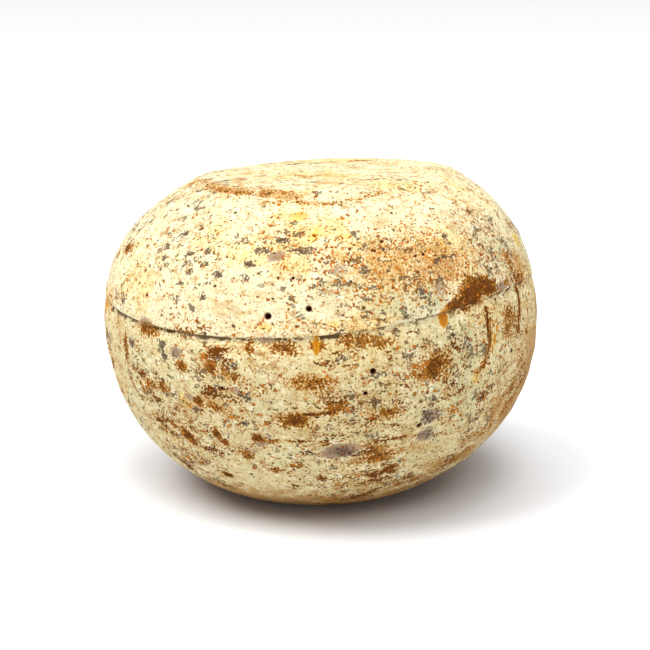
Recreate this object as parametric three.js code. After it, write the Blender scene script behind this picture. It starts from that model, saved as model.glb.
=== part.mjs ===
// A natural-rind cheese wheel: a tall, rounded wheel of pressed curd, shaped in a two-part
// mould and aged until its sides sagged into a belly. It is one solid piece. A seam runs round
// it a little above the belly, where the mould's lid met its bowl: the curd above the seam
// overhangs the curd below by about a millimetre. The wheel stands on a flat base and leans
// slightly, as a wheel does that was turned by hand while it was soft.
//
// Units are millimetres and +Z is up. The front is towards -Y. The origin is the bottom centre
// of the bounding box, on the flat base.
import * as THREE from "three";
import { ParametricGeometry } from "three/addons/geometries/ParametricGeometry.js";

// Driving dimensions of the profile, before the wheel leans.
const BELLY_RADIUS = 100; // at the widest level
const BELLY_HEIGHT = 78; // of that level above the base
const BASE_RADIUS = 42; // of the flat face that the wheel stands on
const BASE_FLARE = 10; // how far the base runs on, nearly flat, before it curves up
const LOWER_BULGE = 55; // how far below the belly the side stays close to upright
const UPPER_BULGE = 31; // the same above the belly
const RIM_RADIUS = 58; // of the top face
const RIM_HEIGHT = 144;
const SHOULDER_LENGTH = 33; // of the nearly straight slope that falls away from the rim
const SHOULDER_SLOPE = THREE.MathUtils.degToRad(27);
const TOP_CROWN = 1.5; // rise of the top face from its rim to its centre

// The seam left by the two halves of the mould. It wanders up and down round the wheel.
const SEAM_HEIGHT = 90;
const SEAM_TILT = { side: 6.5, back: -6 }; // rise towards +X and towards +Y
const SEAM_BOW = { side: 4.4, corner: -3.2 }; // second-order waves round the wheel
const SEAM_STEP = 1.1; // average overhang of the upper half
const SEAM_STEP_SWING = 0.4; // share by which the overhang varies round the wheel
const SEAM_STEP_ANGLE = THREE.MathUtils.degToRad(-120); // where it is deepest
const SEAM_LIP = 0.5; // height of the lip's underside
const SEAM_FADE = 9; // the lower half is back on the profile this far below the seam

// How the wheel leans: slopes along X and Y, and the sideways shift of its top.
const BELLY_LEAN = -0.053;
const TOP_LEAN = { x: 0.038, y: 0.011 };
const TOP_SHIFT = 3.5;

// Resolution of the faceted solid.
const SEGMENTS = 96;
const BASE_ROWS = 3;
const LOWER_ROWS = 12;
const UPPER_ROWS = 12;
const TOP_ROWS = 6;

const RIND = { color: 0xe8dcae, roughness: 0.9, metalness: 0 };

// The side of the wheel from the edge of the base, over the belly, to the rim of the top face.
const side = new THREE.Path()
  .moveTo(BASE_RADIUS, 0)
  .bezierCurveTo(
    BASE_RADIUS + BASE_FLARE,
    0,
    BELLY_RADIUS,
    BELLY_HEIGHT - LOWER_BULGE,
    BELLY_RADIUS,
    BELLY_HEIGHT,
  )
  .bezierCurveTo(
    BELLY_RADIUS,
    BELLY_HEIGHT + UPPER_BULGE,
    RIM_RADIUS + SHOULDER_LENGTH * Math.cos(SHOULDER_SLOPE),
    RIM_HEIGHT - SHOULDER_LENGTH * Math.sin(SHOULDER_SLOPE),
    RIM_RADIUS,
    RIM_HEIGHT,
  );
const sideLength = side.getLength();

function seamHeight(angle) {
  return (
    SEAM_HEIGHT +
    SEAM_TILT.side * Math.cos(angle) +
    SEAM_TILT.back * Math.sin(angle) +
    SEAM_BOW.side * Math.cos(2 * angle) +
    SEAM_BOW.corner * Math.sin(2 * angle)
  );
}

// The overhang is deepest at the front left and shallowest opposite, at the back right.
function seamStep(angle) {
  return SEAM_STEP * (1 + SEAM_STEP_SWING * Math.cos(angle - SEAM_STEP_ANGLE));
}

// The share of the side's length at which the seam lies, found by halving.
function seamShare(angle) {
  const height = seamHeight(angle);
  let low = 0;
  let high = 1;
  while (high - low > 1e-6) {
    const middle = (low + high) / 2;
    if (side.getPoint(middle).y < height) low = middle;
    else high = middle;
  }
  return low;
}

const seamShares = Array.from({ length: SEGMENTS + 1 }, (_, i) =>
  seamShare((2 * Math.PI * i) / SEGMENTS),
);

// Numbers from 0 to 1 that cut a stretch into equal steps, without the first one.
function steps(count) {
  return Array.from({ length: count }, (_, i) => (i + 1) / count);
}

// The rows of points from the middle of the base to the middle of the top. Each one turns a
// seam share and an angle into a radius and a height. Rows on the side slide with the seam.
const baseRows = [0, ...steps(BASE_ROWS)].map(
  (share) => () => new THREE.Vector2(BASE_RADIUS * share, 0),
);

const lowerRows = steps(LOWER_ROWS).map(
  (share) => (seam) => side.getPoint(share * (seam - SEAM_FADE / sideLength)),
);

const recessRows = [0.55, 0.2, 0].map((fade) => (seam, angle) => {
  const below = SEAM_LIP + fade * (SEAM_FADE - SEAM_LIP);
  const point = side.getPoint(seam - below / sideLength);
  point.x -= seamStep(angle) * (1 - fade) ** 2;
  return point;
});

const upperRows = [0, ...steps(UPPER_ROWS)].map(
  (share) => (seam) => side.getPoint(seam + share * (1 - seam)),
);

const topRows = steps(TOP_ROWS).map(
  (share) => () =>
    new THREE.Vector2(
      RIM_RADIUS * (1 - share),
      RIM_HEIGHT + TOP_CROWN * (1 - (1 - share) ** 2),
    ),
);

const rows = [
  ...baseRows,
  ...lowerRows,
  ...recessRows,
  ...upperRows,
  ...topRows,
];

// Moves a point of the upright wheel to its place on the leaning one. The base stays flat: the
// lean grows from nothing there to BELLY_LEAN at the belly, and goes over to TOP_LEAN at the rim.
function lean(point) {
  const overBelly = THREE.MathUtils.clamp(
    (point.z - BELLY_HEIGHT) / (RIM_HEIGHT - BELLY_HEIGHT),
    0,
    1,
  );
  const underBelly = Math.min(point.z / BELLY_HEIGHT, 1);
  const bellyLean = BELLY_LEAN * underBelly ** 2 * (1 - overBelly);
  point.z +=
    (bellyLean + TOP_LEAN.x * overBelly) * point.x +
    TOP_LEAN.y * overBelly * point.y;
  point.x += TOP_SHIFT * Math.min(point.z / RIM_HEIGHT, 1);
}

function wheelGeometry() {
  const surface = (turn, rise, target) => {
    const segment = Math.round(turn * SEGMENTS);
    const row = rows[Math.round(rise * (rows.length - 1))];
    const angle = (2 * Math.PI * (segment % SEGMENTS)) / SEGMENTS;
    const { x: radius, y: height } = row(seamShares[segment], angle);
    target.set(radius * Math.cos(angle), radius * Math.sin(angle), height);
    lean(target);
  };
  return new ParametricGeometry(surface, SEGMENTS, rows.length - 1);
}

const wheel = new THREE.Mesh(
  wheelGeometry(),
  new THREE.MeshStandardMaterial(RIND),
);
wheel.name = "cheese_wheel";
wheel.geometry.computeBoundingBox();
const middle = wheel.geometry.boundingBox.getCenter(new THREE.Vector3());
wheel.position.set(-middle.x, -middle.y, 0);

const cheese = new THREE.Group();
cheese.add(wheel);

export default cheese;
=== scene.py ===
# %% [markdown]
# # A natural-rind cheese wheel
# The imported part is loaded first. Its one solid is the wheel at its true size and place, and
# everything below is measured from it, in metres, with +Z up and the front towards -Y.

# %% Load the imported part
import math
import random

import bpy
import numpy as np
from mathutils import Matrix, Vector


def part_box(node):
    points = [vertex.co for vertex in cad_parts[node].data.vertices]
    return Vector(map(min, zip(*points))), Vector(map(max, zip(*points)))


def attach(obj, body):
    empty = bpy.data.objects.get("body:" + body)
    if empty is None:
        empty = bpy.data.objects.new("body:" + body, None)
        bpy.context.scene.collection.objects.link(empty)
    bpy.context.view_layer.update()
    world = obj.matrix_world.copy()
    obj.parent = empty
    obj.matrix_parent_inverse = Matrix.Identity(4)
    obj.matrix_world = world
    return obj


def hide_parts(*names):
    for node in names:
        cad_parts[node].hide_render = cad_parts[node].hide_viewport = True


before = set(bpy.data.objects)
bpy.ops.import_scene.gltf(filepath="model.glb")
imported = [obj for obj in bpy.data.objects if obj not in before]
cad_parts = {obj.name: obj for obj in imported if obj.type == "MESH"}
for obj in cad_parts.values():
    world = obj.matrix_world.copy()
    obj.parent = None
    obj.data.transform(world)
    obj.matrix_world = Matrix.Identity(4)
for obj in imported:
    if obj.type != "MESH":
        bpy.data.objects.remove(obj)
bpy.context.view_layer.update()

MM = 0.001
NODE = "cheese_wheel"
cad_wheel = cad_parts[NODE]
low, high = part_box(NODE)
wheel_size = high - low
print("wheel", [round(side / MM, 1) for side in wheel_size], "mm")

# %% [markdown]
# ## Camera
# The wheel is seen a little from above by a long lens, so its sides stay almost parallel. The
# camera is placed by its distance from the wheel and its tilt, which is how a tripod is set.
# Depth of field stays off: the whole rind is to be read.

# %% Camera
CAMERA_TILT = math.radians(13.14)
CAMERA_BACK = 573.4 * MM
CAMERA_HEIGHT = 206.5 * MM
CAMERA_ASIDE = 1.9 * MM
LENS_MM = 69.46
SENSOR_MM = 36
NEAREST_SEEN = 10 * MM

bpy.ops.object.camera_add(
    location=(CAMERA_ASIDE, -CAMERA_BACK, CAMERA_HEIGHT),
    rotation=(math.pi / 2 - CAMERA_TILT, 0, 0),
)
camera = bpy.context.object
camera.name = "tripod_camera"
camera.data.lens = LENS_MM
camera.data.sensor_width = SENSOR_MM
camera.data.clip_start = NEAREST_SEEN
bpy.context.scene.camera = camera
print("camera", LENS_MM, "mm lens")

# %% [markdown]
# ## Studio
# A pale sweep lit by three large soft lamps: the key high on the left, one overhead and a weaker
# fill at the front right. An area lamp would light the near floor more than the far one and leave
# a grey horizon, so each lamp is a wide, soft sun. The world is white at the horizon and dim
# overhead, because the lamps do the lighting. The lit floor is a little brighter than white, so
# that only a soft shadow shows where the wheel stands. The plain Standard view is used, because
# it leaves white as white.

# %% Colours and materials
def linear(hex_colour):
    """An sRGB hex colour as the four linear numbers that a shader socket takes."""
    channels = [int(hex_colour[i : i + 2], 16) / 255 for i in (1, 3, 5)]
    return [c / 12.92 if c <= 0.04045 else ((c + 0.055) / 1.055) ** 2.4 for c in channels] + [1]


def new_material(name):
    """An empty node material with its Principled shader, both ready to be wired."""
    material = bpy.data.materials.new(name)
    material.use_nodes = True
    return material, material.node_tree.nodes["Principled BSDF"]


# %% Floor
FLOOR_SIDE = 60.0
FLOOR_WHITE = "#dcdde0"
FLOOR_ROUGHNESS = 0.9

bpy.ops.object.select_all(action="DESELECT")
bpy.ops.mesh.primitive_plane_add(size=FLOOR_SIDE)
floor = bpy.context.object
floor.name = "white_sweep"
floor_material, floor_shader = new_material("matt white paper")
floor_shader.inputs["Base Color"].default_value = linear(FLOOR_WHITE)
floor_shader.inputs["Roughness"].default_value = FLOOR_ROUGHNESS
floor.data.materials.append(floor_material)
print("floor", FLOOR_SIDE, "m across")

# %% A node and its links
# Map Range has its sockets twice, for numbers and for vectors. These are the ones for numbers.
# Math and Vector Math take their values at 0, 1 and 2.
VALUE, FROM_MIN, FROM_MAX, TO_MIN, TO_MAX = range(5)


def add(kind, inputs=None, out=0, **settings):
    """Adds one node to the tree in hand and gives back one of its outputs.

    An input is a plain value, or the output of another node to link from.
    """
    node = tree.nodes.new("ShaderNode" + kind)
    for name, value in settings.items():
        setattr(node, name, value)
    for key, value in (inputs or {}).items():
        if isinstance(value, bpy.types.NodeSocket):
            tree.links.new(value, node.inputs[key])
        else:
            node.inputs[key].default_value = value
    return node.outputs[out]


# %% World: white at the horizon, dimmer overhead
HORIZON = 1.0
CEILING = 0.35
CEILING_RISE = 0.25

world = bpy.data.worlds.new("white_studio")
world.use_nodes = True
tree = world.node_tree
background = tree.nodes["Background"]
outward = add("TexCoord", out="Generated")
upward = add("SeparateXYZ", {0: outward}, out="Z")
sky = {VALUE: upward, FROM_MAX: CEILING_RISE, TO_MIN: HORIZON, TO_MAX: CEILING}
tree.links.new(add("MapRange", sky), background.inputs["Strength"])
background.inputs["Color"].default_value = (1, 1, 1, 1)
bpy.context.scene.world = world
bpy.context.scene.view_settings.view_transform = "Standard"
print("world", HORIZON, "at the horizon,", CEILING, "overhead")

# %% Three soft lamps: left, overhead and front right
LAMP_SPREAD = math.radians(34)
LAMPS = {
    # name: (degrees round from +X, degrees above the floor, strength)
    "key_softbox": (200, 56, 2.6),
    "top_softbox": (270, 84, 1.8),
    "fill_softbox": (290, 57, 1.4),
}
for name, (round_deg, rise_deg, strength) in LAMPS.items():
    turn, rise = math.radians(round_deg), math.radians(rise_deg)
    level = math.cos(rise)
    lamp_from = Vector((math.cos(turn) * level, math.sin(turn) * level, math.sin(rise)))
    bpy.ops.object.light_add(type="SUN", location=lamp_from)
    lamp = bpy.context.object
    lamp.name = name
    lamp.data.energy = strength
    lamp.data.angle = LAMP_SPREAD
    lamp.rotation_euler = (-lamp_from).to_track_quat("-Z", "Y").to_euler()
    print(name, "from", [round(c, 2) for c in lamp_from])

# %% [markdown]
# ## Feeling the wheel
# The fine rind mesh has to lie on the solid wheel, with one row of points exactly on the mould
# seam. The seam isn't level, so it is felt for: rays go out from the heart of the wheel at every
# angle, and the seam is where the distance to the surface jumps. The same rays find the edge of
# the flat base and the rim of the top.

# %% Find the foot, the seam and the rim
COLUMNS = 104
# The scan goes this many degrees down and up. The seam is looked for near the middle only.
SCAN_LIMIT = 70
SCAN_STEP = 0.1
BELT_LIMIT = math.radians(30)
FLAT_BASE = 0.02 * MM
TOP_FACE_NORMAL = 0.97
heart = Vector((0, 0, wheel_size.z / 2))


def cast(turn, rise):
    """How far from the heart the wheel is, out at two angles, and its normal and place there."""
    level = math.cos(rise)
    direction = Vector((math.cos(turn) * level, math.sin(turn) * level, math.sin(rise)))
    _, place, normal, _ = cad_wheel.ray_cast(heart, direction)
    return (place - heart).length, normal, place


def feel(turn):
    """The rises at which the foot, the seam and the rim lie at one turn."""
    rises = np.radians(np.arange(-SCAN_LIMIT, SCAN_LIMIT, SCAN_STEP))
    felt = [cast(turn, rise) for rise in rises]
    distance = np.array([f[0] for f in felt])
    height = np.array([f[2].z for f in felt])
    upright = np.array([f[1].z for f in felt])
    foot = rises[height > FLAT_BASE][0]
    belt = np.abs(rises) < BELT_LIMIT
    jump = np.where(belt[1:], np.diff(distance), 0)
    seam = rises[1:][np.argmax(jump)]
    rim = rises[(upright > TOP_FACE_NORMAL) & (rises > 0)][0]
    return foot, seam, rim


turns = 2 * math.pi * np.arange(COLUMNS) / COLUMNS
feet, seams, rims = np.array([feel(turn) for turn in turns]).T
print("seam rises", np.degrees(seams.min()).round(1), "to", np.degrees(seams.max()).round(1))

# %% [markdown]
# ## The cage
# A wheel of curd is turned out of its mould as one barrel. Here a UV sphere gives the rows and
# columns in one go, its polar caps are cut off and closed with square grids, which leave no
# star-shaped pole, and each point is then slid onto the solid wheel. No operator slides points
# along a wavy seam, so that one step is done by code. Close rows on both sides of the seam keep
# its lip sharp when the cage is subdivided.

# %% Rows of the cage
ROWS_BELOW = 20
ROWS_ABOVE = 14
# The close rows, in mm up from the seam, then the gap to the next rows on either side.
SEAM_ROWS_MM = [-6.0, -3.2, -1.5, -0.6, 0.0, 0.7, 2.2, 5.0]
SEAM_GAP_MM = 4
# How far the seam is from the heart.
SEAM_DISTANCE_MM = 101


def row_rises(foot, seam, rim):
    """The rises of all rows at one turn, from the foot over the seam to the rim."""
    near = [seam + mm / SEAM_DISTANCE_MM for mm in SEAM_ROWS_MM]
    gap = SEAM_GAP_MM / SEAM_DISTANCE_MM
    below = np.linspace(foot, near[0] - gap, ROWS_BELOW)
    above = np.linspace(near[-1] + gap, rim, ROWS_ABOVE)
    return [*below, *near, *above]


rises = np.array([row_rises(*marks) for marks in zip(feet, seams, rims)])
ROWS = rises.shape[1]
print(ROWS, "rows of", COLUMNS, "points")

# %% A sphere without its poles
bpy.ops.object.select_all(action="DESELECT")
# A sphere of N rings has N - 1 rows of points and a pole at each end. The poles are deleted.
bpy.ops.mesh.primitive_uv_sphere_add(
    segments=COLUMNS, ring_count=ROWS + 1, radius=wheel_size.x / 2, location=heart
)
rind = bpy.context.object
rind.name = "natural_rind_wheel"
bpy.ops.object.transform_apply(location=True, rotation=True, scale=True)


def edit(kind, chosen):
    """Opens the wheel in edit mode with only these vertices, edges or faces selected."""
    bpy.ops.object.mode_set(mode="EDIT")
    bpy.ops.mesh.select_mode(type=kind)
    bpy.ops.mesh.select_all(action="DESELECT")
    bpy.ops.object.mode_set(mode="OBJECT")
    parts = {"VERT": rind.data.vertices, "EDGE": rind.data.edges, "FACE": rind.data.polygons}[kind]
    for part, pick in zip(parts, chosen):
        part.select = bool(pick)
    bpy.ops.object.mode_set(mode="EDIT")


def coordinates():
    """The wheel's points as an array, one row each."""
    flat = np.empty(len(rind.data.vertices) * 3)
    rind.data.vertices.foreach_get("co", flat)
    return flat.reshape(-1, 3)


NEAR_POLE = 0.01 * MM
edit("VERT", np.abs(coordinates()[:, 2] - heart.z) > wheel_size.x / 2 - NEAR_POLE)
bpy.ops.mesh.delete(type="VERT")
bpy.ops.object.mode_set(mode="OBJECT")
print("open sphere", len(rind.data.vertices), "points in", ROWS, "rows")

# %% Slide every point onto the wheel
# The row and column of each point are kept, counted from 1, to find the edges again later.
row_of = rind.data.attributes.new("row", "INT", "POINT")
column_of = rind.data.attributes.new("column", "INT", "POINT")
ring_step = math.pi / (ROWS + 1)
for vertex in rind.data.vertices:
    spoke = vertex.co - heart
    row = round((math.asin(spoke.z / spoke.length) + math.pi / 2) / ring_step) - 1
    column = round(math.atan2(spoke.y, spoke.x) / (2 * math.pi) * COLUMNS) % COLUMNS
    vertex.co = cast(turns[column], rises[column][row])[2]
    row_of.data[vertex.index].value = row + 1
    column_of.data[vertex.index].value = column + 1
print("widest row", round(2 * coordinates()[:, 0].max() / MM, 1), "mm")

# %% Close both ends with a square grid
def ends(edge, name):
    """The rows or columns that an edge's two ends lie on."""
    return {rind.data.attributes[name].data[v].value for v in edge.vertices}


# The grid is stretched between two opposite quarters of the ring. If the whole ring were
# selected, Blender would choose the corners, and not the same ones each time.
QUARTER = COLUMNS // 4
SPANS = [set(range(first, first + QUARTER + 1)) for first in (1, 1 + 2 * QUARTER)]


def in_spans(edge):
    """True for an edge in the first or the third quarter of its row."""
    return any(ends(edge, "column") <= span for span in SPANS)


for last_row in (1, ROWS):
    points_before = len(rind.data.vertices)
    ring = [ends(edge, "row") == {last_row} for edge in rind.data.edges]
    edit("EDGE", [on and in_spans(edge) for on, edge in zip(ring, rind.data.edges)])
    bpy.ops.mesh.fill_grid()
    bpy.ops.object.mode_set(mode="OBJECT")
    for point in rind.data.attributes["row"].data[points_before:]:
        point.value = 0


def apply_modifier(kind, **settings):
    """Adds one modifier to the wheel, sets it and applies it."""
    modifier = rind.modifiers.new(kind.lower(), kind)
    for name, value in settings.items():
        setattr(modifier, name, value)
    bpy.ops.object.modifier_apply(modifier=modifier.name)


apply_modifier("SHRINKWRAP", target=cad_wheel, wrap_method="NEAREST_SURFACEPOINT")
print("cage", len(rind.data.polygons), "faces")

# %% [markdown]
# ## Unwrapping
# The rind could be unwrapped by any automatic projection, but that would leave dozens of small
# islands. A wheel peels like a cask: the two ends come off as discs, and the side opens as two
# staves cut at the left and right. So those edges are marked as seams, and the four islands are
# evened out in scale and packed.

# %% Four islands
ISLAND_MARGIN = 0.004


def is_cut(edge):
    """True for an edge of the foot, of the rim, or of the upright cuts at the two sides."""
    on_ring = ends(edge, "row") in ({1}, {ROWS})
    on_side = ends(edge, "column") in ({1}, {COLUMNS // 2 + 1}) and 0 not in ends(edge, "row")
    return on_ring or on_side


edit("EDGE", [is_cut(edge) for edge in rind.data.edges])
bpy.ops.mesh.mark_seam()
bpy.ops.mesh.select_all(action="SELECT")
bpy.ops.uv.unwrap(method="ANGLE_BASED", margin=ISLAND_MARGIN)
bpy.ops.uv.average_islands_scale()
bpy.ops.uv.pack_islands(rotate=True, margin=ISLAND_MARGIN)
bpy.ops.object.mode_set(mode="OBJECT")
rind.data.uv_layers[0].name = "OFBake"
print("seam edges", sum(edge.use_seam for edge in rind.data.edges))

# %% [markdown]
# ## The fine mesh
# Two rounds of Subdivision Surface turn the cage into a rind with a point every millimetre or
# so, which is fine enough for lumps and for the lip of the seam.

# %% Subdivide
ROUNDS = 2
apply_modifier("SUBSURF", levels=ROUNDS, render_levels=ROUNDS)
print("rind", len(rind.data.polygons), "faces")

# %% [markdown]
# ## Where things are on the wheel
# Marks on the rind are placed as a cheesemaker would point at them: so many degrees round from
# the front, to the right, and so many millimetres up. Each mark is an oval with a width and a
# height in millimetres. It gives every point of the rind a share, which is 1 in the middle of the
# oval and falls to 0 a little past its edge.

# %% Ovals on the rind
# A share falls from 1 to 0 over one radius of the oval, and is gone at this many radii.
REACH = 1.4
# Past this many times its larger side, an oval has no share of anything.
OVAL_LIMIT = 1.5
MM_PER_DEGREE = 1.7
# The base and the middle of the top lie within this distance of the axis.
SIDE_FROM_MM = 52


def survey():
    """The rind's points, their angles round from the front in degrees, and outward normals."""
    xyz = coordinates()
    normals = np.empty(xyz.size)
    rind.data.vertex_normals.foreach_get("vector", normals)
    angles = np.degrees(np.arctan2(xyz[:, 0], -xyz[:, 1]))
    return xyz, angles, normals.reshape(-1, 3)


def nearest(angle, height):
    """The point of the rind's side at an angle in degrees and a height in millimetres."""
    around = (angles - angle + 180) % 360 - 180
    miss = (around * MM_PER_DEGREE) ** 2 + (xyz[:, 2] / MM - height) ** 2
    on_side = np.hypot(xyz[:, 0], xyz[:, 1]) > SIDE_FROM_MM * MM
    return np.argmin(np.where(on_side, miss, np.inf))


def nearest_on_top(angle, out):
    """The point of the top at an angle in degrees and so many millimetres out from its middle."""
    x = math.sin(math.radians(angle)) * out * MM
    y = -math.cos(math.radians(angle)) * out * MM
    miss = (xyz[:, 0] - x) ** 2 + (xyz[:, 1] - y) ** 2
    return np.argmin(np.where(xyz[:, 2] > heart.z, miss, np.inf))


def oval(angle, height, wide, tall, turn=0, find=nearest):
    """The share of each point of the rind in one oval, turned anticlockwise by some degrees."""
    middle = find(angle, height)
    offset = xyz - xyz[middle]
    outward = normals[middle]
    level = np.cross([0, 0, 1], outward)
    level /= np.linalg.norm(level)
    upward = np.cross(outward, level)
    cos, sin = math.cos(math.radians(turn)), math.sin(math.radians(turn))
    right, up = offset @ level, offset @ upward
    across = (right * cos + up * sin) / (wide / 2 * MM)
    along = (up * cos - right * sin) / (tall / 2 * MM)
    near = np.linalg.norm(offset, axis=1) < OVAL_LIMIT * max(wide, tall) * MM
    return np.where(near, np.clip(REACH - np.hypot(across, along), 0, 1), 0)


def stroke(path, wide):
    """The share of each point of the rind in a line of so many mm along a path of places."""
    stops = [xyz[nearest(*stop)] for stop in path]
    share = np.zeros(len(xyz))
    for start, end in zip(stops, stops[1:]):
        run = end - start
        along = np.clip((xyz - start) @ run / (run @ run), 0, 1)
        away = np.linalg.norm(xyz - start - along[:, None] * run, axis=1)
        share = np.maximum(share, np.clip(REACH - away / (wide / 2 * MM), 0, 1))
    return share


xyz, angles, normals = survey()
print("front point", xyz[nearest(0, 78)].round(3))

# %% [markdown]
# ## Eyes
# Gas bubbles that broke through the rind leave small round holes, the eyes. They are real holes
# here. A Boolean cut would leave sharp rims, so the faces round each one are cut finer and then
# pressed in along their normals. The ones at the front are placed one by one, and the rest of
# the wheel gets more of the same, drawn from a fixed seed.

# %% Place the eyes and cut the mesh finer round them
# Angle in degrees, height in mm, and the width of the hole in mm.
EYES = [
    (-12, 98.5, 2.5), (-2.5, 101.5, 2.2), (12, 76.5, 2.2), (10.5, 67.5, 1.6), (25, 50.5, 2.0),
    (17, 125.5, 1.3), (28, 120, 1.3), (-6.5, 113, 1.2), (-23.5, 68, 1.4),
]  # fmt: skip
BACK_EYES = 14
# The same three measures of the eyes at the back, each from least to most.
BACK_EYE_SPANS = [(60, 300), (25, 130), (1.4, 2.4)]
SEED = 11
draw = random.Random(SEED)
eyes = EYES + [tuple(draw.uniform(*span) for span in BACK_EYE_SPANS) for _ in range(BACK_EYES)]

# The well that is cut finer is this many times as wide as its eye.
EYE_WELL = 2.6
EYE_CUTS = 2
WELL_EDGE = 0.05
wells = np.zeros(len(xyz))
for angle, height, wide in eyes:
    wells = np.maximum(wells, oval(angle, height, wide * EYE_WELL, wide * EYE_WELL))
edit("FACE", [min(wells[v] for v in face.vertices) > WELL_EDGE for face in rind.data.polygons])
bpy.ops.mesh.subdivide(number_cuts=EYE_CUTS)
bpy.ops.object.mode_set(mode="OBJECT")
xyz, angles, normals = survey()
triangles = sum(len(face.vertices) - 2 for face in rind.data.polygons)
print(len(eyes), "eyes,", triangles, "triangles")

# %% [markdown]
# ## Lumps
# Pressed curd is never a perfect barrel. Sculpting it by hand would work, but three cloud textures
# push the side in and out just as well: a slow one for the dents of turning, a middling one for
# the lumps of curd and a quick one for its grain. A vertex group keeps the flat base flat.

# %% Displace the side
FLAT_FOOT_MM = 1.0
FREE_SIDE_MM = 14.0
LUMPS = {
    # name: (size of a lump in mm, from deepest dent to highest lump in mm)
    "turning_dents": (38, 1.5),
    "curd_lumps": (11, 0.7),
    "curd_grain": (3.6, 0.35),
}
LUMP_DETAIL = 2


def paint_group(name, weights):
    """A vertex group with one weight for each point."""
    group = rind.vertex_groups.new(name=name)
    for index, weight in enumerate(weights):
        if weight > 0:
            group.add([index], float(weight), "REPLACE")


heights_mm = xyz[:, 2] / MM
paint_group("free_side", np.clip((heights_mm - FLAT_FOOT_MM) / (FREE_SIDE_MM - FLAT_FOOT_MM), 0, 1))
for name, (lump_mm, swing_mm) in LUMPS.items():
    clouds = bpy.data.textures.new(name, "CLOUDS")
    clouds.noise_scale = lump_mm * MM
    clouds.noise_depth = LUMP_DETAIL
    apply_modifier(
        "DISPLACE",
        texture=clouds,
        texture_coords="LOCAL",
        strength=swing_mm * MM,
        mid_level=0.5,
        vertex_group="free_side",
    )
    print(name, lump_mm, "mm")

# %% Press the eyes in
# The depth of an eye for each mm of its width, how wide its floor is and how round its wall.
EYE_DEPTH = 0.9
EYE_FLOOR = 1.6
EYE_WALL = 1.5
xyz, angles, normals = survey()
pressed = np.zeros(len(xyz))
eye_shares = np.zeros(len(xyz))
for angle, height, wide in eyes:
    eye_shares = np.maximum(eye_shares, oval(angle, height, wide, wide))
    share = oval(angle, height, wide, wide) / REACH
    well = np.minimum(share * EYE_FLOOR, 1) ** EYE_WALL
    pressed = np.maximum(pressed, well * wide * EYE_DEPTH)
paint_group("eyes", pressed / pressed.max())
apply_modifier(
    "DISPLACE", strength=-pressed.max() * MM, mid_level=0, vertex_group="eyes", direction="NORMAL"
)
print("deepest eye", round(pressed.max(), 1), "mm")

# %% [markdown]
# ## Finish the mesh
# The rind is rounded everywhere, so it is shaded smooth. The attributes and groups that only
# helped to make it are removed.

# %% Shade smooth and tidy
bpy.ops.object.shade_smooth()
for name in ("row", "column"):
    rind.data.attributes.remove(rind.data.attributes[name])
rind.vertex_groups.clear()
xyz, angles, normals = survey()
triangles = sum(len(face.vertices) - 2 for face in rind.data.polygons)
print("rind", triangles, "triangles")

# %% [markdown]
# ## Marks on the rind
# Each kind of mark is kept as an attribute of the rind, one number for each point. Painting the
# numbers by hand would do too, but a list of ovals can be read and changed. A mark's outline
# stays soft there, and the material breaks it up into grains. Marks at the front are placed one
# by one; round the back they are strewn from a fixed seed.

# %% Brown blooms
# Angle in degrees, height in mm, width in mm, height of the oval in mm, strength, and a turn.
# All lists of ovals have these columns.
BROWN_BLOOMS = [
    # the strip just under the seam, from left to right
    (-56, 76, 5, 15, 0.9), (-46, 87, 14, 5, 0.9), (-33, 89, 11, 4, 0.8), (-16.5, 86, 4, 7, 0.8),
    (-8, 86, 12, 6, 0.85), (-1, 87, 7, 6, 0.9), (6, 89, 6, 6, 0.75), (10, 89, 5, 6, 0.8),
    (14.5, 88, 8, 5, 0.75), (54, 88, 13, 15, 0.8),
    # above the seam
    (34.5, 100.2, 12, 5, 1.3, 18), (40, 103, 15, 9.5, 1.6, 12), (46, 104.6, 14, 8, 1.5, -10),
    (40.5, 107, 9, 7, 1.2), (37, 97.4, 8, 2.4, 1.0), (63, 104, 8, 9, 0.9),
    (56, 104, 10, 4, 0.7), (60, 111, 9, 8, 0.7),
    # the middle of the lower half
    (-35, 75, 7, 5, 0.9), (-26, 76.5, 5, 4, 1.5, -30), (-21, 74, 8, 3, 0.8, -20),
    (-2, 72, 19, 6, 0.85), (-14, 67.5, 7, 5, 0.6), (27.5, 76.5, 15, 11, 1.1, 25),
    (23, 73, 10, 4, 0.9), (-46, 63, 8, 4, 0.9), (-41.5, 63.5, 7, 5, 0.9), (-50, 60.5, 3, 8, 0.8, 30),
    (-30, 60, 4.5, 5, 1.3), (-26, 59.5, 9, 5, 0.9, -15), (-21, 56.5, 3, 2.5, 0.9),
    (-6.5, 56.5, 14, 7, 1.0), (3.5, 60.5, 9, 4, 0.8), (17.5, 59, 13, 6, 0.7), (34.5, 55.5, 8, 4, 0.7),
    # the lowest band
    (-41, 46, 5, 3, 1.2), (-38.5, 43.5, 3, 8, 1.2), (-36, 42, 5.5, 9, 1.4, 20),
    (-27, 46.5, 4, 7, 1.4), (-25, 43, 4, 4, 1.3), (-15.5, 47.5, 5, 4.5, 1.4),
    (-12, 45.5, 7, 4, 0.7), (-20, 37.5, 8, 6, 0.75), (16, 37, 17, 7.5, 0.95, 14),
    (-12, 31, 12, 3, 0.75), (-6.5, 34, 11, 4, 0.7), (-29, 23.5, 5.5, 4, 1.4), (12, 43.5, 14, 3, 0.6),
]  # fmt: skip
print(len(BROWN_BLOOMS), "brown blooms")

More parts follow.
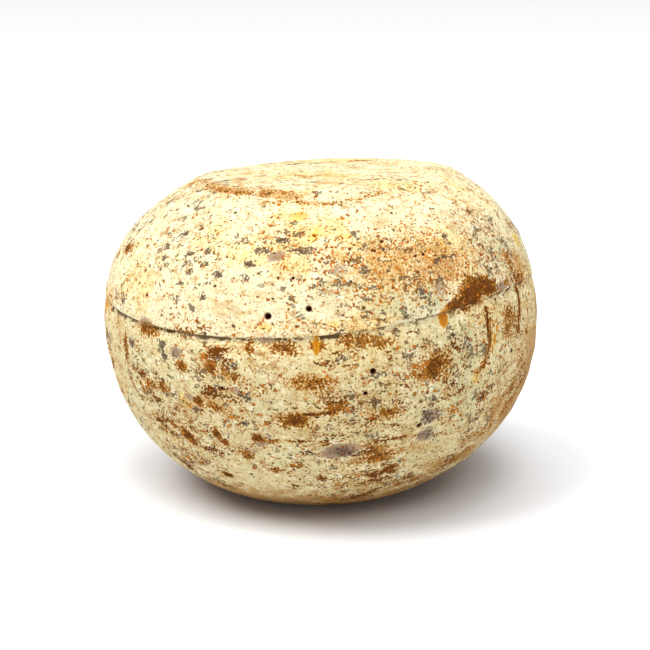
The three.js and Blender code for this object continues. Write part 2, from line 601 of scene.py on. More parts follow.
# %% Grey moulds
GREY_MOULDS = [
    # the upper half
    (-10.5, 125.5, 9, 4, 0.9), (-4, 123, 11, 6, 0.7), (-16, 122, 8, 5, 0.8), (-21.5, 125, 6, 4, 0.8),
    (-18, 117, 5.5, 2.6, 1.2, -12), (-31.5, 116, 4.5, 3, 1.0, 30), (-32, 120.5, 3, 4.5, 1.1),
    (-37, 119, 6, 3, 1.0, 25), (-48, 120, 6, 4, 0.9), (-44, 125, 8, 3, 0.9, 35),
    (-46, 115.5, 4, 3, 1.1, 50), (-26, 112.5, 5, 3.5, 0.9), (-19, 112.5, 6, 4, 0.7),
    (-29, 103.5, 4, 3.5, 0.9), (-37, 101, 4.5, 3.5, 0.9), (-59, 95, 5, 4, 0.9),
    (37, 125, 4, 5, 0.9), (25, 106, 9, 6, 0.7), (31.5, 109, 6, 5, 0.7), (52, 116, 6, 8, 0.6),
    # the lower half
    (-40.5, 82, 6, 5, 0.9), (-39.5, 78, 4.5, 4, 1.0), (-37, 78.5, 3, 3, 1.1), (-53, 79, 7, 5, 0.9),
    (-24, 80, 3, 3, 1.0), (-24.5, 69.5, 5.5, 3, 0.8), (-20, 78, 5, 5, 0.8), (-18.5, 66.5, 4, 3, 0.9),
    (-17, 65, 4, 3, 0.9), (-11.5, 71.5, 3, 2.6, 1.1), (-11, 64, 3, 2, 1.0), (-41, 60.5, 4, 3.5, 1.1),
    (-31.5, 56, 6, 4, 0.9), (-18.5, 54, 5, 3, 0.8), (12, 63.5, 9, 2, 0.9), (27.5, 55, 13, 9, 0.75),
    (28, 46, 10, 8, 0.6), (6, 41, 13, 5, 0.85), (36, 84, 6, 9, 0.8), (34, 71, 4, 8, 0.7),
    (5, 82, 6, 5, 0.7), (8, 58, 5, 9, 0.6), (14, 47, 12, 4, 0.5), (28, 62, 3, 6, 0.9),
]  # fmt: skip
print(len(GREY_MOULDS), "grey moulds")

# %% Hazes, drips, stains and bruises
RUST_HAZES = [
    (20, 117, 50, 28, 1.0), (39, 113, 26, 22, 0.9), (26, 110, 24, 18, 0.9),
    (33, 116, 26, 26, 1.2), (8, 122, 30, 14, 0.7), (-10, 122, 10, 8, 0.7),
    (12, 107, 30, 12, 0.5), (-8.5, 118, 6, 4, 0.9), (-10, 94, 24, 6, 0.5), (2, 95, 16, 5, 0.6),
]  # fmt: skip
OCHRE_DRIPS = [
    (30, 95, 4.4, 7, 1.4), (-1, 87.5, 2.6, 7, 1.0), (-1.2, 89, 5, 4, 0.6),
    (41, 67, 3, 5, 0.6),
]  # fmt: skip
YELLOW_STAINS = [
    (-6.5, 134, 8, 8, 0.9), (-2, 128, 4, 10, 0.9, -20), (-34, 60, 12, 9, 0.8), (-12, 94, 12, 4, 0.7),
    (2, 96, 18, 4, 0.6), (40, 68, 6, 9, 0.8), (30, 62, 5, 10, 0.5), (-1, 72, 4, 14, 0.6),
    (8, 128, 8, 5, 0.6), (-22, 76, 6, 8, 0.6), (46, 82, 6, 10, 0.6), (-62, 100, 8, 6, 0.5),
]  # fmt: skip
BRUISES = [
    (5, 41.5, 17, 8, 1.2, 10), (27.5, 55, 10, 9, 0.9, 30), (28, 46, 9, 8, 1.0), (20, 60, 9, 6, 0.6),
    (-14.5, 45.5, 9, 7, 0.8), (-33, 62.5, 7, 6, 0.8), (-18, 40, 9, 5, 0.8), (-47, 89.5, 9, 5, 1.0),
    (-12, 89.4, 9, 3, 1.0), (-11, 120, 12, 6, 0.8, 12), (4, 116, 10, 6, 0.6), (30, 106, 10, 7, 0.7),
    (52, 103, 12, 5, 0.9, 10), (-49, 118, 5, 4, 0.8), (-36, 80, 8, 6, 0.8), (-20, 68, 8, 5, 0.7),
]  # fmt: skip
print(len(RUST_HAZES), "hazes,", len(OCHRE_DRIPS), "drips,", len(BRUISES), "bruises")

# %% Casts and washes
SAGE_CASTS = [
    (20, 103, 50, 16, 0.9), (10, 113, 40, 16, 0.7), (36, 82, 30, 34, 0.8), (60, 114, 30, 26, 0.6),
    (-4, 103, 22, 12, 0.6), (38, 58, 44, 30, 0.7), (-54, 88, 20, 26, 0.5), (8, 50, 40, 30, 0.5),
]  # fmt: skip
# Tan stains. The wide ones on the right side, away from the key lamp, and the ones round the lowest
# band are partly painted shade.
TAN_STAINS_AND_SHADE = [
    (72, 84, 60, 60, 0.55), (80, 45, 60, 50, 0.6), (62, 30, 50, 30, 0.75), (-66, 60, 24, 50, 0.5),
    (30, 12, 90, 12, 1.0), (-40, 12, 90, 12, 1.0), (53, 50, 24, 26, 0.9), (42, 26, 40, 14, 0.9),
    (15.5, 43.5, 15, 4, 1.2), (-33, 58, 26, 10, 0.7), (-38, 45, 22, 14, 0.6),
    (12, 36, 30, 10, 0.6), (69, 60, 18, 50, 1.3), (62, 44, 20, 26, 1.3), (50, 26, 30, 16, 1.1),
    (52, 50, 14, 12, 1.1), (46, 38, 16, 10, 1.0), (66, 108, 18, 22, 0.9), (54, 88, 18, 18, 0.7),
    (-2, 73, 28, 13, 0.75), (27, 78, 24, 20, 0.7), (-8, 57, 26, 13, 0.7), (-26, 76, 18, 13, 0.65),
    (14, 57, 24, 13, 0.6), (9, 88, 24, 8, 0.8), (-10, 88, 18, 8, 0.75), (-44, 87, 20, 8, 0.7),
    (-60, 84, 10, 16, 0.8), (47, 40, 30, 16, 0.6), (0, 12, 120, 14, 0.4),
]  # fmt: skip
print(len(SAGE_CASTS), "sage casts,", len(TAN_STAINS_AND_SHADE), "tan washes")

# %% Marks on the top
# Here the second number is the distance out from the middle in mm.
TOP_BROWNS = [
    (-52, 58, 24, 7, 0.3), (-38, 58, 22, 7, 0.3), (-20, 58, 26, 5, 0.3), (-78, 58, 8, 12, 0.3),
    (30, 44, 14, 3, 0.8), (62, 36, 12, 3, 0.7), (-60, 40, 22, 4, 0.5), (150, 40, 16, 6, 0.7),
]  # fmt: skip
TOP_TANS = [
    (-58, 57, 40, 10, 1.0), (-40, 58, 30, 10, 1.0), (-20, 58, 34, 8, 0.9), (-80, 58, 12, 14, 1.0),
    (-50, 46, 50, 5, 0.8), (-20, 48, 50, 4, 0.8), (20, 50, 50, 5, 0.7), (-70, 30, 50, 10, 0.7),
    (90, 20, 60, 12, 0.6), (180, 30, 60, 14, 0.7), (0, 10, 60, 10, 0.5), (60, 50, 40, 7, 0.6),
    (0, 32, 90, 9, 0.7), (-30, 20, 60, 10, 0.6), (10, 46, 60, 6, 0.6),
]  # fmt: skip
TOP_MARKS = {"brown_bloom": TOP_BROWNS, "tan_stain_and_shade": TOP_TANS}
print(len(TOP_BROWNS) + len(TOP_TANS), "marks on the top")

# %% Lines and cracks
# A path of (angle, height) places, its width in mm and its strength.
BROWN_LINES = [
    ([(-72, 142.6), (-60, 141.4), (-48, 141), (-36, 140.8), (-22, 141)], 4.2, 0.5),
    ([(-66, 143.6), (-56, 143), (-40, 142.6), (-14, 142)], 2.6, 0.4),
    ([(44.5, 96), (43.9, 90), (44.7, 84), (43.9, 78), (42.4, 73)], 2.5, 1.1),
    ([(60, 106), (60.8, 97), (60, 90), (58.2, 82)], 3.0, 1.1),
    ([(42.4, 73), (40, 70)], 1.6, 0.9), ([(66, 96), (64, 80), (60, 66)], 1.8, 0.6),
    ([(-5, 58.2), (-1, 58.6), (3.4, 60.2)], 1.5, 1.0), ([(-8, 46.4), (2, 46.4)], 1.2, 0.75),
    ([(14, 45.6), (22, 46.6)], 1.3, 0.8), ([(62, 72), (57, 62), (50, 55)], 3.0, 0.4),
    ([(-22, 138.5), (-10, 139), (0, 138), (8, 139.4), (18, 141), (28, 142.4)], 2.6, 0.5),
    ([(66, 60), (60, 48), (52, 38)], 7, 0.6), ([(76, 92), (75, 66), (70, 48)], 7, 0.5),
    ([(24, 17), (38, 20), (52, 30)], 5, 0.55), ([(64, 66), (58, 56)], 6, 0.6),
    ([(-62, 90), (-60, 76)], 2.0, 0.6), ([(-56, 64), (-53, 56)], 2.0, 0.8),
]  # fmt: skip
OCHRE_LINES = [
    ([(47.4, 87), (47, 82), (46, 77)], 1.7, 0.95), ([(41, 90.6), (47, 90)], 1.2, 0.55),
    ([(-1, 91), (-0.8, 84)], 1.8, 1.0), ([(-7.4, 99), (-7.4, 93)], 1.2, 0.6),
]  # fmt: skip
TAN_LINES = [
    ([(-78, 143.6), (-60, 142), (-48, 141.4), (-36, 141.4), (-22, 141.4), (-8, 140)], 9, 0.9),
    ([(-22, 138.5), (-10, 139), (0, 138), (8, 139.4), (18, 141), (28, 142.4)], 5.0, 0.7),
    ([(-60, 137), (-44, 139), (-28, 139)], 4.0, 0.7), ([(36, 134), (48, 132)], 4.0, 0.6),
]  # fmt: skip
# A crack is not cut into the mesh, so its dark middle is painted shade of the gap.
CRACK_LINES = [
    ([(-5, 57.6), (-2.4, 58.8), (-0.6, 57.8), (1.6, 59.4), (3.4, 60.4)], 1.2, 1.0),
    ([(44.5, 97), (43.8, 90), (44.4, 84), (43.6, 78)], 1.2, 0.95),
    ([(60, 106), (60.6, 97), (60, 90)], 1.5, 1.0), ([(-7, 46.2), (2, 46.6)], 1.1, 0.8),
    ([(14, 45.6), (22, 46.8)], 1.1, 0.85), ([(35, 98.4), (38, 98.9), (41, 100)], 1.3, 0.9),
    ([(33, 73), (32.6, 68)], 1.3, 0.8), ([(-7.5, 86), (-7.3, 80)], 1.0, 0.6),
]  # fmt: skip
LINES = {
    "brown_bloom": BROWN_LINES,
    "ochre_drip": OCHRE_LINES,
    "tan_stain_and_shade": TAN_LINES,
    "crack": CRACK_LINES,
}
print(sum(len(lines) for lines in LINES.values()), "lines")

# %% Strew the back and paint it all
MARKS = {
    # name: (placed marks, how many are strewn at the back, their widths, their heights)
    "brown_bloom": (BROWN_BLOOMS, 46, (4, 16), (3, 8)),
    "grey_mould": (GREY_MOULDS, 60, (3, 11), (2.5, 7)),
    "rust_haze": (RUST_HAZES, 7, (18, 46), (10, 26)),
    "ochre_drip": (OCHRE_DRIPS, 8, (2.4, 5), (4, 10)),
    "tan_stain_and_shade": (TAN_STAINS_AND_SHADE, 7, (30, 60), (16, 40)),
    "sage_cast": (SAGE_CASTS, 8, (30, 60), (14, 34)),
    "bruise": (BRUISES, 18, (6, 14), (4, 9)),
    "crack": ([], 6, (1.2, 1.8), (6, 14)),
    "yellow_stain": (YELLOW_STAINS, 12, (6, 16), (5, 12)),
}


def paint(name, values):
    """Keeps one number for each point of the rind, for the material to read."""
    attribute = rind.data.attributes.new(name, "FLOAT", "POINT")
    attribute.data.foreach_set("value", np.asarray(values, np.float32))


# The lowest band is tanned all the way round, up to a height in mm: partly the stain of the boards it
# stood on, partly painted shade where the rind curves under.
FOOT_BAND_MM = (6, 24)
FOOT_STAIN_AND_SHADE = 1.4
heights_mm = xyz[:, 2] / MM
foot_stain_and_shade = np.interp(heights_mm, FOOT_BAND_MM, (FOOT_STAIN_AND_SHADE, 0))

# Strewn marks: angle in degrees and height in mm, then strength and turn, from least to most.
STREWN_PLACES = [(66, 294), (20, 128)]
STREWN_LOOKS = [(0.6, 1.1), (-20, 20)]
for name, (placed, count, widths, talls) in MARKS.items():
    spans = [*STREWN_PLACES, widths, talls, *STREWN_LOOKS]
    strewn = [tuple(draw.uniform(*span) for span in spans) for _ in range(count)]
    shares = np.zeros(len(xyz))
    for mark in placed + strewn:
        shares = np.maximum(shares, oval(*mark[:4], *mark[5:]) * mark[4])
    for path, wide, strength in LINES.get(name, []):
        shares = np.maximum(shares, stroke(path, wide) * strength)
    for mark in TOP_MARKS.get(name, []):
        shares = np.maximum(shares, oval(*mark[:4], find=nearest_on_top) * mark[4])
    if name == "tan_stain_and_shade":
        shares = np.maximum(shares, foot_stain_and_shade)
    paint(name, shares)
    print(name, len(placed), "placed,", count, "strewn")

paint("eye", eye_shares)

# %% Soil: where flecks crowd
# The whole rind is a little soiled. Some places, mostly low down and on the right, are soiled more:
# there the dirt of each oval is laid on half of what was there before. The soil also darkens the
# ground, and on the lower and right sides that darkening is partly painted shade.
SOIL = 0.68
SOIL_KEPT = 0.5
SOILED_AND_SHADED = [
    (20, 117, 70, 44, 0.7), (52, 120, 44, 50, 0.7), (-24, 62, 50, 40, 0.35),
    (4, 60, 66, 60, 0.4), (-10, 124, 30, 14, 0.4), (60, 80, 60, 80, 0.35),
    (30, 60, 60, 70, 0.3), (45, 30, 60, 40, 0.4),
]  # fmt: skip
soil = np.full(len(xyz), SOIL)
for dirt in SOILED_AND_SHADED:
    soil = np.maximum(soil, oval(*dirt[:4]) * dirt[4] + soil * SOIL_KEPT)
paint("soil", soil)
print("soil", soil.min().round(2), "to", soil.max().round(2))

# %% The seam as a distance
SEAM_SPAN_MM = 30
spokes = xyz - np.array(heart)
reach = np.linalg.norm(spokes, axis=1)
point_rise = np.arcsin(spokes[:, 2] / reach)
point_turn = np.arctan2(spokes[:, 1], spokes[:, 0])
seam_rise = np.interp(point_turn, turns, seams, period=2 * math.pi)
above_mm = (point_rise - seam_rise) * reach / MM
paint("above_seam_mm", np.clip(above_mm, -SEAM_SPAN_MM, SEAM_SPAN_MM))

# Angle in degrees, and how thick the painted shade under the overhanging lip is there in mm.
SEAM_SHADE_LINE = [
    (-180, 0.9), (-120, 1.1), (-75, 0.6), (-66, 0.9), (-62, 2.0), (-53, 2.2), (-50, 0.2),
    (-47, 0.2), (-45, 1.1), (-34, 1.3), (-27, 1.7), (-20, 1.3), (-17, 0.4), (-12, 0.3),
    (-8, 0.7), (-5, 0.3), (-1, 0.5), (0, 2.2), (4, 2.0), (5, 0.4), (16, 0.5), (20, 0.3),
    (25, 0.9), (31, 1.1), (34, 0.5), (40, 0.3), (48, 0.3), (56, 0.8), (75, 0.6), (110, 1.0),
    (180, 0.9),
]  # fmt: skip
line_angles, line_thickness = zip(*SEAM_SHADE_LINE)
paint("seam_shade_mm", np.interp(angles, line_angles, line_thickness))
print("seam painted")

# %% [markdown]
# ## Natural mould rind
# A natural rind isn't painted or waxed. It is dry curd that moulds have grown over and that has been
# brushed again and again. The eye sees a chalky cream ground that drifts towards straw and sage,
# peppered with grey mould spots and rust-brown pinpricks, with stippled brown blooms where the cloth
# pressed. The whole is matt: casein and chalk have an IOR near 1.45 and scatter nearly all light. A
# painted image would do for the colours, but it would smear on the shoulders and go soft close up. So
# each pigment is a layer of its own, laid over the last one through a mask: the ground, wide washes,
# smears, blooms with the bruises and cracks, spots, and last the line under the lip and the eyes.
# Some layers are painted shade: the dark of the cracks, the line under the lip and the inside of the
# eyes. In part, so are the darker ground below the seam, the soiled ground, and the tan washes on the
# lower and right sides. The masks come from noise at the real size of the thing, such as a mould
# colony of 4 mm or a grain of 1 mm, and from the marks kept on the mesh.

# %% Dry, powdery curd
RIND_IOR = 1.45
RIND_ROUGHNESS = 0.9
# Powdery mould traps most of the shine that a smooth face of this IOR would give.
POWDER_SHINE = 0.15
rind_material, rind_shader = new_material("natural mould rind")
rind_shader.inputs["IOR"].default_value = RIND_IOR
rind_shader.inputs["Roughness"].default_value = RIND_ROUGHNESS
rind_shader.inputs["Specular IOR Level"].default_value = POWDER_SHINE
rind.data.materials.clear()
rind.data.materials.append(rind_material)
tree = rind_material.node_tree


def scale(size_mm):
    """The Scale that makes a pattern's features about so many millimetres across."""
    return 1 / (size_mm * MM)


place = add("TexCoord", out="Object")
print("rind IOR", RIND_IOR, "roughness", RIND_ROUGHNESS)

# %% Ragged places
# The outlines of moulds are never smooth. So the masks are read at places that two clouds have
# pushed about: one bends a whole outline, the other frays its edge.
# Size of the cloud in mm, and how far it pushes in mm.
PUSHES_MM = [(9, 3.4), (1.7, 0.9)]
MIDDLE_GREY = (0.5, 0.5, 0.5)
ragged = place
for cloud_mm, push_mm in PUSHES_MM:
    cloud = add("TexNoise", {"Vector": place, "Scale": scale(cloud_mm)}, out="Color")
    push = add("VectorMath", {0: cloud, 1: MIDDLE_GREY}, operation="SUBTRACT")
    push_m = (push_mm * MM,) * 3
    ragged = add("VectorMath", {0: push, 1: push_m, 2: ragged}, operation="MULTIPLY_ADD")
print("outlines pushed by", [push_mm for _, push_mm in PUSHES_MM], "mm")

# %% The ground: cream that drifts to straw and sage
# Mix has sockets for numbers, vectors and colours. A mix of colours uses these.
FACTOR, LOWER, UPPER = 0, 6, 7
COLOURS = {"out": 2, "data_type": "RGBA"}
SMOOTH = {"interpolation_type": "SMOOTHSTEP"}
CREAM = linear("#d8cda6")
STRAW = linear("#dcc284")
SAGE = linear("#c2bc98")
DRIFT_MM = 30
GROUND_DRIFTS = [
    # colour, from, to
    (STRAW, 0.5, 0.66),
    (SAGE, 0.48, 0.34),
]
colour = CREAM
drift = add("TexNoise", {"Vector": place, "Scale": scale(DRIFT_MM), "Detail": 4})
for tint, start, end in GROUND_DRIFTS:
    mask = add("MapRange", {VALUE: drift, FROM_MIN: start, FROM_MAX: end}, **SMOOTH)
    colour = add("Mix", {FACTOR: mask, LOWER: colour, UPPER: tint}, **COLOURS)
print("drifts of", DRIFT_MM, "mm")

# %% Sage and painted shade below the seam, and dirt and painted shade where flecks crowd
# Below the seam the ground turns greener and darker: partly a sage tint of the rind, partly painted
# shade of the lower half, which the lamps above light less.
LOWER_SAGE_AND_SHADE = linear("#cabc86")
# Where soil is high the ground darkens: dirt, and on the lower and right sides partly painted shade.
GRIME_AND_SHADE = linear("#aca074")
above = add("Attribute", out="Fac", attribute_name="above_seam_mm")
soil = add("Attribute", out="Fac", attribute_name="soil")
GROUND_CASTS = [
    # what it goes by, colour, from, to, cover
    (above, LOWER_SAGE_AND_SHADE, 0.5, -2, 0.65),
    (soil, GRIME_AND_SHADE, 0.6, 1.2, 0.42),
]
for measure, tint, start, end, cover in GROUND_CASTS:
    mask = add("MapRange", {VALUE: measure, FROM_MIN: start, FROM_MAX: end, TO_MAX: cover})
    colour = add("Mix", {FACTOR: mask, LOWER: colour, UPPER: tint}, **COLOURS)
print("ground", len(tree.nodes), "nodes")

# %% Mottles
# Two finer clouds mottle the ground. Each leaves chalky curd standing up and husk-coloured
# hollows between.
CHALK = linear("#e8e0c2")
HUSK = linear("#a88a58")
MOTTLE_MM = 4.5
FINE_MM = 1.3
mottle_inputs = {"Vector": ragged, "Scale": scale(MOTTLE_MM), "Detail": 5, "Roughness": 0.7}
mottle = add("TexNoise", mottle_inputs)
fine = add("TexNoise", {"Vector": place, "Scale": scale(FINE_MM), "Detail": 3, "Roughness": 0.6})
GROUND_MOTTLES = [
    # cloud, colour, from, to, cover
    (mottle, HUSK, 0.51, 0.68, 0.44),
    (mottle, CHALK, 0.47, 0.34, 0.7),
    (fine, HUSK, 0.52, 0.64, 0.3),
    (fine, CHALK, 0.47, 0.36, 0.35),
]
for cloud, tint, start, end, cover in GROUND_MOTTLES:
    limits = {VALUE: cloud, FROM_MIN: start, FROM_MAX: end, TO_MAX: cover}
    mask = add("MapRange", limits, **SMOOTH)
    colour = add("Mix", {FACTOR: mask, LOWER: colour, UPPER: tint}, **COLOURS)
print("mottles of", MOTTLE_MM, "and", FINE_MM, "mm")

# %% Marks broken up into grains
# The grains are about 0.9 mm: the real ones are half of that, too fine to show at arm's length.
GRAIN_MM = 0.9
grain = add("TexNoise", {"Vector": place, "Scale": scale(GRAIN_MM), "Detail": 1})


def broken(shares, patch_mm, patchy, grainy, start, end):
    """A mark whose outline is broken into patches and grains, and how deep in it a place is."""
    patches = add("TexNoise", {"Vector": ragged, "Scale": scale(patch_mm), "Detail": 2})
    # Both clouds swing about 0.5, so half of their shares is taken off again.
    depth = add("Math", {0: patches, 1: patchy, 2: shares}, operation="MULTIPLY_ADD")
    depth = add("Math", {0: grain, 1: grainy, 2: depth}, operation="MULTIPLY_ADD")
    depth = add("Math", {0: depth, 1: (patchy + grainy) / 2}, operation="SUBTRACT")
    mask = add("MapRange", {VALUE: depth, FROM_MIN: start, FROM_MAX: end}, **SMOOTH)
    return mask, depth


# A mark starts to show at the first of these shares and is whole at the second.
MARK_EDGE = 0.02
MARK_FULL = 0.25
# Its colour goes on deepening this much further in than where it is whole.
DEEPENING = 0.55


def lay_marks(colour, name, patch_mm, patchy, grainy, start, end, thin, deep, cover):
    """Lays the marks of one name over a colour, and gives the new colour."""
    shares = add("Attribute", out="Fac", attribute_name=name)
    mask, depth = broken(shares, patch_mm, patchy, grainy, start, end)
    # Nothing of a mark shows where its share is 0, whatever the clouds say.
    inside = add("MapRange", {VALUE: shares, FROM_MIN: MARK_EDGE, FROM_MAX: MARK_FULL, TO_MAX: cover})
    mask = add("Math", {0: mask, 1: inside}, operation="MULTIPLY")
    deepness = add("MapRange", {VALUE: depth, FROM_MIN: start, FROM_MAX: end + DEEPENING})
    pigment = add("Mix", {FACTOR: deepness, LOWER: linear(thin), UPPER: linear(deep)}, **COLOURS)
    return add("Mix", {FACTOR: mask, LOWER: colour, UPPER: pigment}, **COLOURS)


print("grains of", GRAIN_MM, "mm")

# %% Washes under the flecks
WASHES = [
    # mark, size of its patches in mm, share of patches, share of grains, start, end, thin and
    # deep colour, cover
    ("sage_cast", 9, 1.2, 0.3, 0.3, 0.9, "#c6c096", "#acaa82", 0.6),
    ("yellow_stain", 5, 1.0, 0.8, 0.3, 0.8, "#dcc468", "#d4b040", 0.75),
    # the tan stains are partly painted shade on the right side and along the bottom edge
    ("tan_stain_and_shade", 7, 1.5, 1.3, 0.35, 1.0, "#c89e5c", "#8e5e2a", 0.8),
    ("rust_haze", 4, 1.7, 3.2, 0.4, 0.85, "#d4ae5c", "#a86c22", 0.75),
]
for wash in WASHES:
    colour = lay_marks(colour, *wash)
print("washes", [wash[0] for wash in WASHES])

# %% Smears: the tops of clouds
# Where the rind is soiled, the cloud is cut lower down and more of it shows. The soil of the rind
# and a slow cloud are added up, and between these two sums clean turns to dirty.
CLEAN = 0.88
DIRTY = 1.3
SMEARS = [
    # size of the cloud in mm, its detail, where it is cut when smears are rare and when they
    # crowd, how much higher above the seam, size of the crowds in mm, fraying by grains,
    # softness of the edge, two colours, cover, flattening
    (16, 3, 0.66, 0.49, 0.04, 60, 0.3, 0.12, "#c4a262", "#a4803e", 0.45, 3.0),
    (2.2, 2, 0.68, 0.57, 0.02, 16, 0.2, 0.08, "#c29858", "#96682e", 0.6, 1.2),
    (4, 3, 0.70, 0.51, 0.02, 22, 0.5, 0.08, "#c08e48", "#946020", 0.6, 1.5),
    (5, 4, 0.76, 0.55, 0.0, 38, 0.3, 0.05, "#6c5844", "#3a2a1e", 0.8, 1.5),
    (12, 4, 0.80, 0.48, 0.14, 34, 0.5, 0.13, "#b27626", "#5e3203", 1.0, 2.0),
]
# This far over its cut a smear has its deep colour.
SMEAR_DEEPENS = 0.12
on_top_half = add("MapRange", {VALUE: above, FROM_MIN: -4, FROM_MAX: 6})
for smear in SMEARS:
    cloud_mm, detail, rare, crowded, lift, crowd_mm, fray, soft, pale, deep, cover, flat = smear
    laid = add("Mapping", {"Vector": ragged, "Scale": (1, 1, flat)})
    cloud = add(
        "TexNoise",
        {"Vector": laid, "Scale": scale(cloud_mm), "Detail": detail, "Roughness": 0.6},
    )
    crowd = add("TexNoise", {"Vector": place, "Scale": scale(crowd_mm), "Detail": 1})
    crowd = add("Math", {0: crowd, 1: soil}, operation="ADD")
    crowding = {VALUE: crowd, FROM_MIN: CLEAN, FROM_MAX: DIRTY, TO_MIN: rare, TO_MAX: crowded}
    cut = add("MapRange", crowding)
    cut = add("Math", {0: on_top_half, 1: lift, 2: cut}, operation="MULTIPLY_ADD")
    over = add("Math", {0: cloud, 1: cut}, operation="SUBTRACT")
    over = add("Math", {0: grain, 1: fray, 2: over}, operation="MULTIPLY_ADD")
    over = add("Math", {0: over, 1: fray / 2}, operation="SUBTRACT")
    mask = add("MapRange", {VALUE: over, FROM_MAX: soft, TO_MAX: cover}, **SMOOTH)
    tone = add("MapRange", {VALUE: over, FROM_MAX: SMEAR_DEEPENS})
    pigment = add("Mix", {FACTOR: tone, LOWER: linear(pale), UPPER: linear(deep)}, **COLOURS)
    colour = add("Mix", {FACTOR: mask, LOWER: colour, UPPER: pigment}, **COLOURS)
print(len(SMEARS), "kinds of smear")

# %% Blooms and moulds over the smears
BLOOMS = [
    # the same columns as the washes
    ("bruise", 6, 0.9, 0.7, 0.3, 0.7, "#ab9276", "#665040", 0.9),
    ("grey_mould", 4, 1.4, 1.8, 0.4, 0.66, "#7a6856", "#3c2c1e", 0.95),
    ("brown_bloom", 5, 1.3, 2.6, 0.2, 0.56, "#b27626", "#5a3003", 1.0),
    ("ochre_drip", 5, 0.5, 0.9, 0.3, 0.6, "#c88c1a", "#a86404", 0.97),
    # the dark of a crack is painted shade
    ("crack", 2.5, 0.7, 0.5, 0.5, 0.8, "#5a2c10", "#24100a", 1.0),
]
for bloom in BLOOMS:
    colour = lay_marks(colour, *bloom)
print("blooms", [bloom[0] for bloom in BLOOMS])

# %% Spots: colonies that started from one spore each
# Voronoi cells place them: one spore in each cell, and a colour of its own for each cell.
SPOTS = [
    # size of a cell in mm, smallest and largest radius in mm, share of the cells with a spot
    # when spots are rare and when they crowd, size of the crowds in mm, lumpiness of the outline
    # in mm, softness of the edge in mm, how pale the middle is, how much it likes rust, two
    # colours, cover. A share below 0 means that there are none until they crowd.
    (8, 0.7, 2.0, 0.05, 0.5, 50, 1.8, 1.2, 0, 0, "#a89880", "#84725e", 0.45),
    (5.5, 0.5, 1.6, 0.06, 0.75, 40, 2.1, 0.55, 0.7, -0.1, "#6c5236", "#2c1a0c", 1),
    (3.4, 0.3, 1.0, 0.06, 0.9, 28, 1.3, 0.4, 0.3, -0.1, "#604830", "#26160a", 1),
    (2.4, 0.4, 1.2, -1.6, 0.9, 20, 1.5, 0.4, 0, 1.1, "#b8701c", "#8a430a", 1),
    (1.7, 0.25, 0.75, -1.9, 0.95, 14, 0.9, 0.3, 0, 1.3, "#bc7420", "#7a3c0a", 1),
    (3.6, 0.35, 1.15, 0.06, 0.8, 32, 1.5, 0.45, 0, 0.6, "#985a16", "#542806", 1),
    (2.0, 0.2, 0.62, 0.08, 0.95, 18, 0.7, 0.3, 0, 0.6, "#8e4c10", "#4a2006", 1),
    (2.0, 0.2, 0.55, 0.08, 0.9, 24, 0.6, 0.3, 0, 0, "#5a4a38", "#2c2018", 1),
    (1.4, 0.15, 0.42, 0.12, 0.7, 12, 0.3, 0.25, 0, 0.2, "#785426", "#40280e", 0.95),
]
SPOT_FLAT = 1.2
# Each kind of spot starts from a corner of its own, so that no two kinds share their places.
CORNER_STEP = (0.37, 0.53, 0.71)
# A power above 1 makes small colonies commoner than large ones.
SMALLNESS = 1.8
# An old colony dies in the middle, this many mm in from its edge, and leaves a ring.
RING_MM = (0.5, 1.0)
rusty = add("Attribute", out="Fac", attribute_name="rust_haze")
for number, spot in enumerate(SPOTS):
    cell_mm, least_mm, most_mm, rare, crowded, crowd_mm, lumpy_mm, soft_mm, *rest = spot
    hollow, likes_rust, pale, deep, cover = rest
    corner = [number * step for step in CORNER_STEP]
    laid = add("Mapping", {"Vector": ragged, "Location": corner, "Scale": (1, 1, SPOT_FLAT)})
    away = add("TexVoronoi", {"Vector": laid, "Scale": scale(cell_mm)})
    lots = add("TexVoronoi", {"Vector": laid, "Scale": scale(cell_mm)}, out="Color")
    picked = add("SeparateColor", {0: lots}, out=0)
    growth = add("SeparateColor", {0: lots}, out=1)
    shade = add("SeparateColor", {0: lots}, out=2)
    crowd = add("TexNoise", {"Vector": place, "Scale": scale(crowd_mm), "Detail": 1})
    crowd = add("Math", {0: crowd, 1: soil}, operation="ADD")
    crowd = add("Math", {0: rusty, 1: likes_rust, 2: crowd}, operation="MULTIPLY_ADD")
    crowding = {VALUE: crowd, FROM_MIN: CLEAN, FROM_MAX: DIRTY, TO_MIN: rare, TO_MAX: crowded}
    share = add("MapRange", crowding)
    present = add("Math", {0: picked, 1: share}, operation="LESS_THAN")
    growth = add("Math", {0: growth, 1: SMALLNESS}, operation="POWER")
    radius = add("MapRange", {VALUE: growth, TO_MIN: least_mm, TO_MAX: most_mm})
    over = add("Math", {0: away, 1: -cell_mm, 2: radius}, operation="MULTIPLY_ADD")
    over = add("Math", {0: grain, 1: lumpy_mm, 2: over}, operation="MULTIPLY_ADD")
    over = add("Math", {0: over, 1: lumpy_mm / 2}, operation="SUBTRACT")
    mask = add("MapRange", {VALUE: over, FROM_MAX: soft_mm, TO_MAX: cover}, **SMOOTH)
    mask = add("Math", {0: mask, 1: present}, operation="MULTIPLY")
    ring = {VALUE: over, FROM_MIN: RING_MM[0], FROM_MAX: RING_MM[1], TO_MIN: 1, TO_MAX: 1 - hollow}
    dead = add("MapRange", ring)
    mask = add("Math", {0: mask, 1: dead}, operation="MULTIPLY")
    pigment = add("Mix", {FACTOR: shade, LOWER: linear(pale), UPPER: linear(deep)}, **COLOURS)
    colour = add("Mix", {FACTOR: mask, LOWER: colour, UPPER: pigment}, **COLOURS)
print(len(SPOTS), "kinds of spot")

# %% The line under the lip: painted shade of the overhang
LINE_TOP_MM = 0.1
LINE_SOFT_MM = 0.5
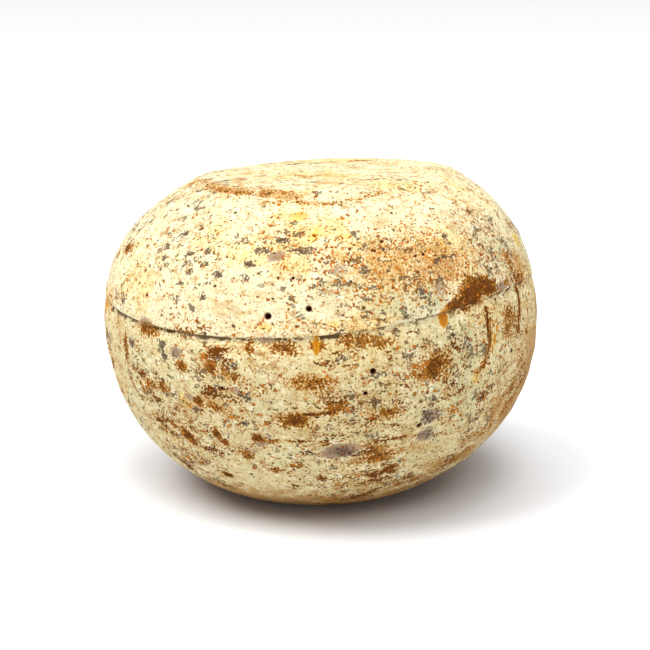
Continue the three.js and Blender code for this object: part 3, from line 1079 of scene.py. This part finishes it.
# A cloud makes the line this much thinner or thicker, so a thin line is lost in places.
THINNER_MM = 1.2
THICKER_MM = 0.6
# These colours are painted shade, where the upper half overhangs the lower.
SHADE_LINE_COLOURS = ("#4c3416", "#6e5c44")
thickness = add("Attribute", out="Fac", attribute_name="seam_shade_mm")
wander = add("TexNoise", {"Vector": place, "Scale": scale(4), "Detail": 3})
limits = {VALUE: wander, FROM_MIN: 0.38, FROM_MAX: 0.6, TO_MIN: THINNER_MM, TO_MAX: -THICKER_MM}
gaps = add("MapRange", limits)
foot_line = add("Math", {0: gaps, 1: thickness}, operation="SUBTRACT")
under_top = add("Math", {0: above, 1: LINE_TOP_MM}, operation="LESS_THAN")
over_foot = add("Math", {0: above, 1: foot_line}, operation="SUBTRACT")
over_foot = add("MapRange", {VALUE: over_foot, FROM_MAX: LINE_SOFT_MM})
line = add("Math", {0: under_top, 1: over_foot}, operation="MULTIPLY")
tone = add("TexNoise", {"Vector": place, "Scale": scale(14)})
line_tint = add("MapRange", {VALUE: tone, FROM_MIN: 0.4, FROM_MAX: 0.6})
dark_line, grey_line = [linear(tint) for tint in SHADE_LINE_COLOURS]
shade_line_colour = add("Mix", {FACTOR: line_tint, LOWER: dark_line, UPPER: grey_line}, **COLOURS)
colour = add("Mix", {FACTOR: line, LOWER: colour, UPPER: shade_line_colour}, **COLOURS)
print("line colours", SHADE_LINE_COLOURS)

# %% The eyes: rusty at the rim, with painted shade inside
EYE_RUST_AND_SHADE = [
    # colour, from, to, cover
    ("#7a3c14", 0.02, 0.35, 0.8),
    # the dark inside each hole is painted shade
    ("#200c04", 0.35, 0.6, 1),
]
eye = add("Attribute", out="Fac", attribute_name="eye")
for tint, start, end, cover in EYE_RUST_AND_SHADE:
    limits = {VALUE: eye, FROM_MIN: start, FROM_MAX: end, TO_MAX: cover}
    mask = add("MapRange", limits, **SMOOTH)
    colour = add("Mix", {FACTOR: mask, LOWER: colour, UPPER: linear(tint)}, **COLOURS)
print("eyes tinted", [tint for tint, *_ in EYE_RUST_AND_SHADE])

# %% Grain to feel
# The Bump node's Distance is one millimetre, so heights below are millimetres.
MOTTLE_RISE_MM = 0.5
FINE_RISE_MM = 0.35
BUMP_STRENGTH = 0.6
height = add("Math", {0: mottle, 1: MOTTLE_RISE_MM}, operation="MULTIPLY")
height = add("Math", {0: fine, 1: FINE_RISE_MM, 2: height}, operation="MULTIPLY_ADD")
normal = add("Bump", {"Height": height, "Strength": BUMP_STRENGTH, "Distance": MM})
tree.links.new(normal, rind_shader.inputs["Normal"])
tree.links.new(colour, rind_shader.inputs["Base Color"])
print("rind material", len(tree.nodes), "nodes")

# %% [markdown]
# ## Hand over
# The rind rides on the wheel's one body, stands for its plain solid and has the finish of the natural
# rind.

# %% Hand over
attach(rind, "root")
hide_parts(NODE)
